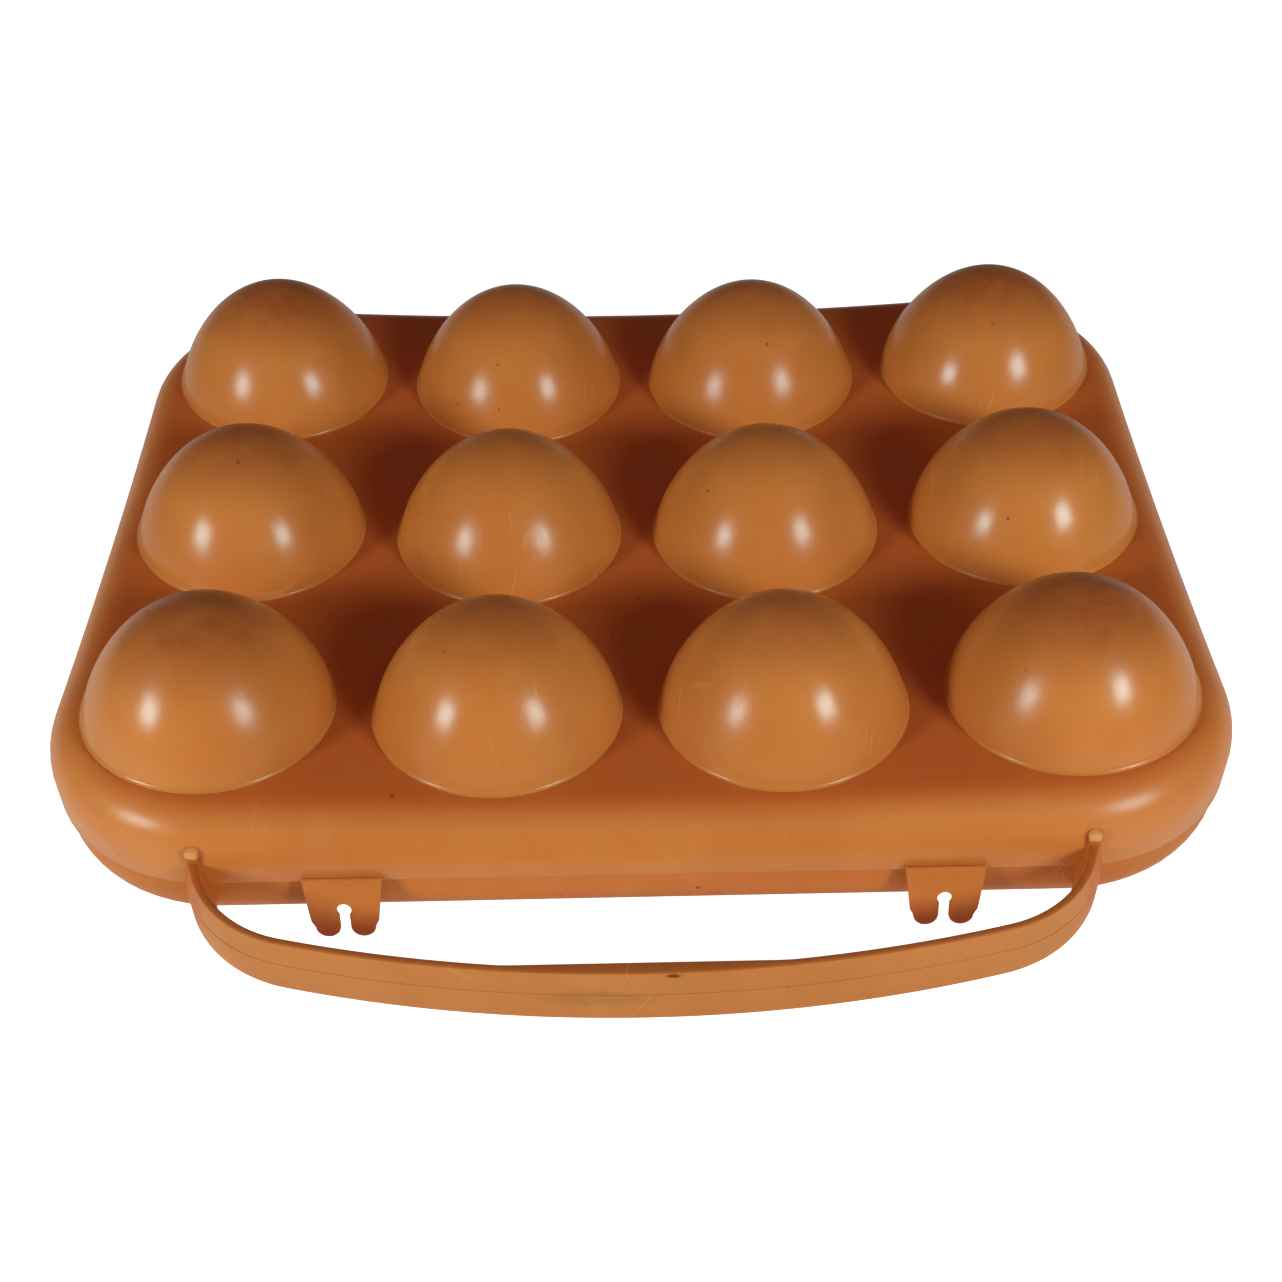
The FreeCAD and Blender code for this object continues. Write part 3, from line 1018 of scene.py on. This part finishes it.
class DomeTree(SpunTree):
    """Spins an egg dome that stands on the lid's dished plate."""

    sizes = (*SpunTree.sizes, "Height", "Fullness", "Flare", "Dish Radius", "Dish Middle")
    root_sink: float = 0.05 * MM
    root_crowding: float = 1.7
    crown_share: float = 0.9999

    def outline(self, size: dict[str, Wire], share: Wire, outer: Wire,
                turn: tuple[Wire, Wire]) -> tuple[Wire, Wire]:
        """Radius and height of the dome's wall.

        Args:
            size: The tree's inputs by name.
            share: 0 at the root and 1 at the crown.
            outer: 1 on the outer face and 0 on the inner one.
            turn: Cosine and sine of the turn round the middle.

        Returns:
            The radius and the height.
        """
        thick = size["Wall"] * (1.0 - outer)
        wide = size["Radius"] - thick
        tall = size["Height"] - thick

        def dish(x: Wire, y: Wire) -> Wire:
            """Height of the plate at a place."""
            return size["Dish Middle"] - (size["Dish Radius"] ** 2.0 - x * x - y * y).sum("SQRT")

        root = dish(size["Place X"], size["Place Y"])
        foot = dish(size["Place X"] + wide * turn[0], size["Place Y"] + wide * turn[1]) - self.root_sink
        height = foot + (root + tall - foot) * share ** self.root_crowding
        crown = share.sum("GREATER_THAN", self.crown_share)
        up = ((height - root) / tall).most(crown).least(1.0)
        radius = wide * (1.0 - up ** size["Fullness"]).most(0.0).sum("SQRT")
        low = (1.0 - (height - foot) / size["Flare"]).most(0.0)
        return radius + outer * size["Flare"] * low * low, height


class CupTree(SpunTree):
    """Spins an egg cup that hangs from the base's floor."""

    sizes = (*SpunTree.sizes, "Foot", "Depth", "Bulge")
    flat_share: float = 0.66

    def outline(self, size: dict[str, Wire], share: Wire, outer: Wire,
                turn: tuple[Wire, Wire]) -> tuple[Wire, Wire]:
        """Radius and height of the cup's wall.

        Args:
            size: The tree's inputs by name.
            share: 0 at the rim and 1 at the middle of the foot.
            outer: 1 on the outer face and 0 on the inner one.
            turn: Cosine and sine of the turn round the middle.

        Returns:
            The radius and the height.
        """
        thick = size["Wall"] * (1.0 - outer)
        rim = size["Radius"] - thick
        foot = size["Foot"] - thick * 0.5
        run_r = foot - rim
        run_z = thick - size["Depth"]
        length = (run_r * run_r + run_z * run_z).sum("SQRT")
        along = (share / self.flat_share).least(1.0)
        belly = size["Bulge"] * 4.0 * along * (1.0 - along)
        inward = ((1.0 - share) / (1.0 - self.flat_share)).least(1.0)
        radius = (rim + run_r * along - run_z / length * belly) * inward
        height = size["Depth"] + run_z * along + run_r / length * belly
        return radius, height.most(thick)


@dataclass
class EggPlaces:
    """The domes of the lid and the cups of the base."""

    plan: BoxPlan
    dome_r: float = 24.75
    dome_h: float = 24.4
    fullness: float = 1.42
    flare: float = 0.55
    cup_r: float = 21.0
    cup_foot: float = 9.5
    cup_bulge: float = 2.6

    def spun(self, tree: SpunTree, node: str, shell: str, sizes: dict[str, float],
             material: bpy.types.Material) -> dict[str, bpy.types.Object]:
        """Spin one piece at every egg place.

        Args:
            tree: The tree that spins the piece.
            node: How the names of the pieces' nodes start.
            shell: How the pieces' own names start.
            sizes: The sizes that all the pieces share.
            material: The pieces' material.

        Returns:
            The pieces by the name of their node.
        """
        made = {}
        for name, x, y in self.plan.places():
            here = {"Place X": x, "Place Y": y, "Box Y": self.plan.box_y, "Wall": self.plan.wall, **sizes}
            made[node + name] = tree.spin(shell + name, here, material)
        return made

    def domes(self, material: bpy.types.Material) -> dict[str, bpy.types.Object]:
        """Build the domes.

        Args:
            material: The domes' material.

        Returns:
            The domes by the name of their node.
        """
        sizes = {"Radius": self.dome_r, "Height": self.dome_h, "Fullness": self.fullness, "Flare": self.flare,
                 "Dish Radius": self.plan.dish_r, "Dish Middle": self.plan.dish_middle}
        return self.spun(DomeTree("egg_dome"), "lid_dome_", "dome_shell_", sizes, material)

    def cups(self, material: bpy.types.Material) -> dict[str, bpy.types.Object]:
        """Build the cups.

        Args:
            material: The cups' material.

        Returns:
            The cups by the name of their node.
        """
        sizes = {"Radius": self.cup_r, "Foot": self.cup_foot, "Depth": self.plan.cup_depth,
                 "Bulge": self.cup_bulge}
        return self.spun(CupTree("egg_cup"), "egg_cup_", "cup_shell_", sizes, material)


def softened(corners: Sequence[Vector], cuts: Sequence[float], steps: int = 4) -> Section:
    """Round the corners of a closed section.

    Args:
        corners: The section's corners.
        cuts: How far each corner is cut back.
        steps: Points on each rounded corner.

    Returns:
        The rounded section.
    """
    found = []
    for here, corner in enumerate(corners):
        before = corners[here - 1]
        after = corners[(here + 1) % len(corners)]
        start = corner + (before - corner).normalized() * cuts[here]
        end = corner + (after - corner).normalized() * cuts[here]
        for step in range(steps):
            share = step / (steps - 1)
            found.append(start.lerp(corner, share).lerp(corner.lerp(end, share), share))
    return found


@dataclass
class CarryStrap:
    """The carrying strap along the front, split along its parting line."""

    plan: BoxPlan
    reach: float = 27.75
    rise: float = 6.6
    drop: float = 7.1
    thickness: float = 1.4
    bow_r: float = 275.0
    bow_half: float = 66.8
    arm_r: float = 26.0
    foot_outer_r: float = 29.5
    foot_inner_r: float = 21.0
    root_turn: float = math.radians(72.0)
    grip_swell: float = 1.2
    nub_width: float = 2.5
    nub_height: float = 3.2
    nub_proud: float = 0.6
    nub_round: float = 0.6
    nub_steps: tuple[tuple[float, float], ...] = ((0.0, 0.35), (0.12, 0.1), (0.4, 0.0), (1.5, 0.0))
    lid_root: float = 0.8
    base_root: float = 1.9
    crest_round: float = 0.5
    parting_round: float = 0.22
    crease: float = 40.0
    bow_steps: int = 28
    arm_steps: int = 20

    def rail(self, inner: bool, arm_r: float, root_y: float) -> list[Plan]:
        """One edge of the strap seen from above, from the left root to the right one.

        Args:
            inner: Whether it is the edge on the side of the box.
            arm_r: Radius of the arms' bend.
            root_y: Where the edge ends inside the wall of the box.

        Returns:
            The edge's points.
        """
        bow_r = self.bow_r - (self.thickness if inner else 0.0)
        middle_y = self.plan.front_y - self.reach + self.bow_r
        bow_turn = math.asin(self.bow_half / self.bow_r)
        grip_turn = math.acos(1 - self.grip_swell / (self.bow_r - self.thickness))
        right = []
        for step in range(self.bow_steps + 1):
            turn = step / self.bow_steps * bow_turn
            level = max(turn, grip_turn) if inner else turn
            right.append((bow_r * math.sin(turn), middle_y - bow_r * math.cos(level)))
        for step in range(1, self.arm_steps + 1):
            turn = bow_turn + step / self.arm_steps * (self.root_turn - bow_turn)
            x = (bow_r - arm_r) * math.sin(bow_turn) + arm_r * math.sin(turn)
            y = middle_y - (bow_r - arm_r) * math.cos(bow_turn) - arm_r * math.cos(turn)
            right.append((x, y))
        x, y = right[-1]
        right.append((x + (root_y - y) / math.tan(self.root_turn), root_y))
        return [(-x, y) for x, y in reversed(right[1:])] + right

    def build(self, half: Half, material: bpy.types.Material) -> bpy.types.Object:
        """Build one half of the strap.

        Args:
            half: Which half.
            material: The strap's material.

        Returns:
            The half's object.
        """
        plan = self.plan
        draft = Draft(plan.box_y)
        upper = half is Half.UPPER
        root_y = plan.front_y + (self.lid_root if upper else self.base_root)
        foot = [self.rail(False, self.foot_outer_r, root_y), self.rail(True, self.foot_inner_r, root_y)]
        crest = [self.rail(False, self.arm_r, root_y), self.rail(True, self.arm_r - self.thickness, root_y)]
        far = crest if upper else foot
        near_z = plan.lid_bottom if upper else plan.base_top
        far_z = plan.seam_z + self.rise if upper else plan.seam_z - self.drop
        cuts = (self.parting_round, self.crest_round, self.crest_round, self.parting_round)
        sections = []
        for near_out, near_in, far_out, far_in in zip(*foot, *far):
            corners = [Vector((*near_out, near_z)), Vector((*far_out, far_z)),
                       Vector((*far_in, far_z)), Vector((*near_in, near_z))]
            sections.append(softened(corners, cuts))
        draft.loft(sections, True)
        if upper:
            self.nubs(draft, crest[0][-1][0])
        return draft.piece(half.value + "_strap", material, self.crease)

    def nubs(self, draft: Draft, root_x: float) -> None:
        """Small nub on the lid's wall over each root.

        Args:
            draft: The draft that takes the nubs.
            root_x: Outer side of the right root at the wall.
        """
        top = self.plan.seam_z + self.rise
        near = self.plan.front_y - self.nub_proud
        for side in (-1, 1):
            left = side * (root_x - self.nub_width / 2) - self.nub_width / 2
            right = left + self.nub_width
            rings = []
            for deep, draw in self.nub_steps:
                tall = self.nub_height - draw
                corners = [Vector((left + draw, near + deep, top - tall)),
                           Vector((right - draw, near + deep, top - tall)),
                           Vector((right - draw, near + deep, top + tall)),
                           Vector((left + draw, near + deep, top + tall))]
                rings.append(softened(corners, (self.nub_round,) * len(corners)))
            draft.loft(rings, True)


@dataclass
class LatchTab:
    """A forked latch tab that hangs from the lid's front."""

    plan: BoxPlan
    x: float
    width: float = 15.6
    tip_width: float = 12.0
    length: float = 12.5
    thickness: float = 1.2
    clearance: float = 0.3
    hinge_height: float = 1.3
    rest_angle: float = math.radians(22.0)
    straight: float = 4.0
    bend_r: float = 30.0
    prong_r: float = 2.4
    eye_r: float = 1.4
    eye_drop: float = 6.3
    neck: float = 2.0
    edge_round: float = 0.32
    crown_share: float = 0.45
    round_limit: float = 0.45
    arc_steps: int = 12
    side_steps: int = 8
    top_shares: tuple[float, float] = (0.66, 0.33)
    grid_x: float = 1.17
    grid_z: float = 0.63
    grid_top: float = 0.3
    grid_columns: int = 6
    grid_rows: int = 22
    grid_clear: float = 0.45
    crease: float = 45.0

    @property
    def axis(self) -> Plan:
        """Y and Z of the fold that the tab turns on."""
        return self.plan.front_y - self.clearance - self.thickness / 2, self.plan.seam_z + self.hinge_height

    def outline(self) -> list[Plan]:
        """Draw the front view of the tab: tapered sides, round prongs and a keyhole slot.

        Returns:
            The outline's points, about the middle of the tab.
        """
        axis_z = self.axis[1]
        tip = axis_z - self.length
        eye_z = axis_z - self.eye_drop
        crown = axis_z + self.thickness * self.crown_share
        slope = (self.width - self.tip_width) / 2 / (self.length + self.thickness)
        half = self.neck / 2
        last = math.pi - math.asin(half / self.eye_r)
        right = []
        for step in range(self.arc_steps + 1):
            turn = last * step / self.arc_steps
            right.append((self.eye_r * math.sin(turn), eye_z + self.eye_r * math.cos(turn)))
        for step in range(2 * self.arc_steps + 1):
            turn = math.pi * step / (2 * self.arc_steps)
            x = half + self.prong_r - self.prong_r * math.cos(turn)
            right.append((x, tip + self.prong_r - self.prong_r * math.sin(turn)))
        for step in range(1, self.side_steps + 1):
            z = tip + self.prong_r + (crown - tip - self.prong_r) * step / self.side_steps
            right.append((self.tip_width / 2 + slope * (z - tip), z))
        right += [(right[-1][0] * share, crown) for share in self.top_shares]
        return right + [(0.0, crown)] + [(-x, z) for x, z in reversed(right[1:])]

    def face_y(self, front: bool, z: float) -> float:
        """Y of one face of the closed tab at a height.

        Args:
            front: Whether it is the outer face.
            z: The height.

        Returns:
            The place across the box.
        """
        axis_y, axis_z = self.axis
        half = self.thickness / 2
        side = -1 if front else 1
        if z > axis_z:
            return axis_y + side * math.sqrt(max(half * half - (z - axis_z) ** 2, 0.0))
        fall = max(axis_z - self.straight - z, 0.0)
        radius = self.bend_r + (self.thickness if front else 0.0)
        return axis_y + side * half + radius - math.sqrt(radius * radius - fall * fall)

    def turned(self, x: float, y: float, z: float) -> Vector:
        """Turn a point of the closed tab to where it is while the tab hangs open at rest.

        Args:
            x: Place along the tab, from its middle.
            y: Place across the box.
            z: Height.

        Returns:
            The turned point.
        """
        axis_y, axis_z = self.axis
        cosine, sine = math.cos(self.rest_angle), math.sin(self.rest_angle)
        off_y, off_z = y - axis_y, z - axis_z
        out = axis_y + off_y * cosine + off_z * sine
        return Vector((self.x + x, out, axis_z - off_y * sine + off_z * cosine))

    def build(self, side: str, material: bpy.types.Material) -> bpy.types.Object:
        """Build the tab.

        Args:
            side: Left or right, for its name.
            material: The tab's material.

        Returns:
            The tab's object.
        """
        outline = self.outline()

        def drawn_in(amount: float) -> list[Plan]:
            """Move the outline inwards.

            Args:
                amount: How far, to the left of the outline's own way round.

            Returns:
                The moved outline.
            """
            found = []
            for here, (x, z) in enumerate(outline):
                x0, z0 = outline[here - 1]
                x1, z1 = outline[(here + 1) % len(outline)]
                way = Vector((x1 - x0, z1 - z0)).normalized()
                found.append((x - way.y * amount, z + way.x * amount))
            return found

        def lifted(plan: Sequence[Plan], from_front: float) -> Section:
            """Lift an outline on to the tab.

            Args:
                plan: The outline.
                from_front: Depth behind the front face, or before the back one where it is negative.

            Returns:
                The lifted points.
            """
            ring = []
            for x, z in plan:
                near, far = self.face_y(True, z), self.face_y(False, z)
                room = min(abs(from_front), self.round_limit * (far - near))
                ring.append(self.turned(x, near + room if from_front >= 0 else far - room, z))
            return ring

        area = sum(x0 * z1 - x1 * z0 for (x0, z0), (x1, z1) in zip(outline, outline[1:] + outline[:1]))
        inward = 1.0 if area > 0 else -1.0
        soft = self.edge_round
        eased = soft * ROUND_MIDDLE
        back_face = -1e-9
        small = drawn_in(inward * soft)
        middle = drawn_in(inward * eased)
        draft = Draft(self.plan.box_y)
        draft.loft([lifted(small, 0.0), lifted(middle, eased), lifted(outline, soft),
                    lifted(outline, -soft), lifted(middle, -eased), lifted(small, back_face)])
        inner = []
        for step_x in range(-self.grid_columns, self.grid_columns + 1):
            for step_z in range(self.grid_rows):
                spot = (step_x * self.grid_x, self.axis[1] + self.grid_top - step_z * self.grid_z)
                if within(spot, small) and min(math.dist(spot, edge) for edge in small) > self.grid_clear:
                    inner.append(spot)
        for front in (True, False):
            draft.fill(small, inner, lambda spot: within(spot, small), closed_edges(len(small)),
                       lambda x, z, front=front: self.turned(x, self.face_y(front, z), z))
        return draft.piece("latch_tab_" + side + "_fork", material, self.crease)


def within(spot: Plan, outline: Sequence[Plan]) -> bool:
    """Whether a point is inside a closed outline.

    Args:
        spot: The point.
        outline: The outline's points.

    Returns:
        True if it is inside.
    """
    inside = False
    for (x0, z0), (x1, z1) in zip(outline, [*outline[1:], outline[0]]):
        if (z0 > spot[1]) != (z1 > spot[1]) and spot[0] < x0 + (x1 - x0) * (spot[1] - z0) / (z1 - z0):
            inside = not inside
    return inside


@dataclass
class Studio:
    """Camera, floor and lights, in metres and watts."""

    place: tuple[float, float, float] = (0.000567, -0.297754, 0.290131)
    ahead: tuple[float, float, float] = (-0.000528, 0.731715, -0.681610)
    right: tuple[float, float, float] = (0.999791, -0.013534, -0.015303)
    view_angle: float = math.radians(39.699)
    left_light: tuple[float, float, float] = (-0.529, -0.413, 0.332)
    right_light: tuple[float, float, float] = (0.432, -0.446, 0.376)
    light_wide: float = 0.17
    light_tall: float = 0.17
    light_power: float = 2.9
    light_colour: tuple[float, float, float] = (1.0, 0.94, 0.88)
    light_aim: tuple[float, float, float] = (0.0, 0.0, 0.045)
    sky: float = 0.055
    sky_colour: Colour = (1.0, 0.98, 0.96, 1.0)
    backdrop: float = 1.0
    floor_glow: float = 0.22
    floor_colour: Colour = (0.7, 0.7, 0.7, 1.0)
    floor_reach: float = 6.0
    floor_drop: float = 0.0003
    nearest: float = 0.01

    def camera(self) -> None:
        """Set the camera where the photograph was taken."""
        data = bpy.data.cameras.new("camera")
        data.sensor_fit = "HORIZONTAL"
        data.angle = self.view_angle
        data.clip_start = self.nearest
        made = bpy.data.objects.new("camera", data)
        back = -Vector(self.ahead).normalized()
        across = Vector(self.right).normalized()
        up = back.cross(across).normalized()
        across = up.cross(back)
        turn = Matrix((across, up, back)).transposed().to_4x4()
        made.matrix_world = Matrix.Translation(self.place) @ turn
        bpy.context.scene.collection.objects.link(made)
        bpy.context.scene.camera = made

    def lamp(self, name: str, place: tuple[float, float, float]) -> None:
        """Add one soft light that faces the box.

        Args:
            name: The light's name.
            place: Where it stands.
        """
        data = bpy.data.lights.new(name, "AREA")
        data.shape = "RECTANGLE"
        data.size = self.light_wide
        data.size_y = self.light_tall
        data.energy = self.light_power
        data.color = self.light_colour
        made = bpy.data.objects.new(name, data)
        aim = Vector(self.light_aim) - Vector(place)
        made.matrix_world = Matrix.Translation(place) @ aim.to_track_quat("-Z", "Y").to_matrix().to_4x4()
        bpy.context.scene.collection.objects.link(made)

    def floor(self) -> None:
        """Add the plain pale floor."""
        made = bpy.data.materials.new("pale_floor")
        made.use_nodes = True
        made.node_tree.nodes.clear()
        graph = Graph(made.node_tree)
        seen = graph.add("ShaderNodeLightPath", {}, {}, "Is Camera Ray")
        shader = graph.add("ShaderNodeBsdfPrincipled", {}, {
            "Base Color": self.floor_colour, "Roughness": 0.9, "Specular IOR Level": 0.1,
            "Emission Color": (1.0, 1.0, 1.0, 1.0),
            "Emission Strength": seen * (self.backdrop - self.floor_glow) + self.floor_glow})
        graph.node("ShaderNodeOutputMaterial", {}, {"Surface": shader})
        mesh = bpy.data.meshes.new("floor")
        far = self.floor_reach
        low = -self.floor_drop
        corners = [(-far, -far, low), (far, -far, low), (far, far, low), (-far, far, low)]
        mesh.from_pydata(corners, [], [(0, 1, 2, 3)])
        mesh.materials.append(made)
        floor = bpy.data.objects.new("floor", mesh)
        bpy.context.scene.collection.objects.link(floor)

    def build(self) -> None:
        """Set the whole studio up."""
        scene = bpy.context.scene
        scene.view_settings.view_transform = "Standard"
        world = bpy.data.worlds.new("studio")
        world.use_nodes = True
        world.node_tree.nodes.clear()
        graph = Graph(world.node_tree)
        seen = graph.add("ShaderNodeLightPath", {}, {}, "Is Camera Ray")
        back = graph.add("ShaderNodeBackground", {}, {
            "Color": self.sky_colour, "Strength": seen * (self.backdrop - self.sky) + self.sky})
        graph.node("ShaderNodeOutputWorld", {}, {"Surface": back})
        scene.world = world
        self.camera()
        self.floor()
        self.lamp("light_left", self.left_light)
        self.lamp("light_right", self.right_light)


def strap_marks() -> tuple[Mark, ...]:
    """Stains, wear and painted light on the strap.

    Returns:
        A stain and a dark nick on the grip, painted shade on both arms and a painted highlight on both nubs.
    """
    stain = Mark((-0.009, -0.1077, 0.0252), (0.013, 0.02, 0.0028), amber(96, 92, 40), 0.25)
    nick = Mark((0.0052, -0.1077, 0.0316), (0.0019, 0.0015, 0.0008), amber(54, 30, 24), 0.85)
    # Painted shade on both arms, a deeper orange tone
    arms = [Mark((x, -0.0815, 0.0275), (0.014, 0.012, 0.011), amber(178, 94, 36), 0.7)
            for x in (-0.0875, 0.0875)]
    # Painted highlight on the tops of both nubs
    nubs = [Mark((x, -0.0808, 0.0352), (0.0026, 0.003, 0.0015), amber(214, 160, 98), 0.85)
            for x in (-0.0847, 0.0847)]
    return stain, nick, *arms, *nubs


def finishes(plan: BoxPlan) -> dict[Slot, bpy.types.Material]:
    """Make the finish of every slot.

    Args:
        plan: The box's sizes, for the outline of the painted shade on the lid's plate.

    Returns:
        The materials by slot.
    """
    lit = amber(194, 128, 62)
    deep = amber(182, 110, 48)
    # Painted glows for the emission, stronger on the lid's plate, standing in for light carried into the
    # shade
    painted_glow = (0.03, 0.004, 0.0004, 1.0)
    painted_plate_glow = (0.06, 0.0065, 0.001, 1.0)
    every = (
        # Painted shade on the lid's plate inside its round edge
        PlateShadedFinish(Slot.LID, amber(192, 128, 62), amber(180, 112, 50), scratch=0.15, speck=0.55,
                    gloss=0.31, inner=painted_plate_glow, painted_shade_low=0.0025, painted_shade_high=0.0095, painted_shade_share=0.75,
                    half_x=plan.length / 2 * MM, half_y=plan.depth / 2 * MM,
                    corner_r=plan.corner_r * MM, middle_y=plan.box_y * MM),
        # The domes take dust on their crowns, darkened further there as painted shade
        AmberFinish(Slot.DOME, lit, deep, gloss=0.23, dust_and_shade_low=0.054, dust_and_shade_high=0.066, inner=painted_glow),
        AmberFinish(Slot.BASE, amber(188, 117, 55), amber(170, 95, 40), gloss=0.36, shine=0.12, inner=painted_glow),
        AmberFinish(Slot.CUP, lit, deep, scratch=0.7),
        # Painted shade on the strap's top face, which looks up away from the low light
        AmberFinish(Slot.STRAP, amber(188, 126, 66), amber(174, 110, 50), gloss=0.4, shine=0.14, inner=painted_glow,
                    painted_shade=amber(138, 78, 34), painted_shade_low=0.0321, painted_shade_high=0.0325, painted_shade_share=0.75,
                    marks=strap_marks()),
        # Painted shade, darker towards the tips of the latch tabs
        AmberFinish(Slot.LATCH, amber(188, 122, 60), amber(172, 98, 42), speck=0.3, gloss=0.36, shine=0.14,
                    inner=painted_glow, painted_shade=amber(146, 66, 22), painted_shade_low=0.0235, painted_shade_high=0.0165,
                    painted_shade_share=1.0),
        AmberFinish(Slot.HINGE, amber(200, 124, 60), amber(180, 98, 42), speck=0.3),
    )
    return {finish.slot: finish.material() for finish in every}


def place(piece: bpy.types.Object, body: Body, slot: Slot, *nodes: str) -> None:
    """Hand a finished piece to the shared frame.

    Args:
        piece: The piece.
        body: The body that it rides on.
        slot: The record's slot of its finish; not used.
        nodes: The CAD nodes that it stands for.
    """
    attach(piece, body.value)
    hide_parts(*nodes)
    LOG.info("%s stands for %s", piece.name, ", ".join(nodes))


def carry_over(names: Sequence[str], material: bpy.types.Material) -> None:
    """Dress CAD nodes that are shown as they are.

    Args:
        names: The nodes' names.
        material: Their material.
    """
    for name in names:
        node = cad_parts[name]
        node.data.materials.clear()
        node.data.materials.append(material)
        LOG.info("%s keeps its CAD shape", name)


def main() -> None:
    """Build the box piece by piece, then the studio."""
    logging.basicConfig(level=logging.INFO, format="%(name)s: %(message)s")
    plan = BoxPlan()
    finish = finishes(plan)
    place(LidTray(plan).build(finish[Slot.LID]), Body.LID, Slot.LID, "lid_tray")
    place(BaseTray(plan).build(finish[Slot.BASE]), Body.BASE, Slot.BASE, "base_tray")
    eggs = EggPlaces(plan)
    for node, dome in eggs.domes(finish[Slot.DOME]).items():
        place(dome, Body.LID, Slot.DOME, node)
    for node, cup in eggs.cups(finish[Slot.CUP]).items():
        place(cup, Body.BASE, Slot.CUP, node)
    strap = CarryStrap(plan)
    place(strap.build(Half.UPPER, finish[Slot.STRAP]), Body.LID, Slot.STRAP, Half.UPPER.value)
    place(strap.build(Half.LOWER, finish[Slot.STRAP]), Body.BASE, Slot.STRAP, Half.LOWER.value)
    hinge_nodes = ("lid_hinge_leaf_", "base_hinge_leaf_", "hinge_bead_")
    for side, body, x in (("left", Body.LATCH_LEFT, -plan.pitch), ("right", Body.LATCH_RIGHT, plan.pitch)):
        tab = LatchTab(plan, x)
        place(tab.build(side, finish[Slot.LATCH]), body, Slot.LATCH, "latch_tab_" + side)
        carry_over(["latch_film_" + side, "latch_stud_" + side], finish[Slot.LATCH])
        carry_over([node + side for node in hinge_nodes], finish[Slot.HINGE])
    Studio().build()


if __name__ == "__main__":
    main()
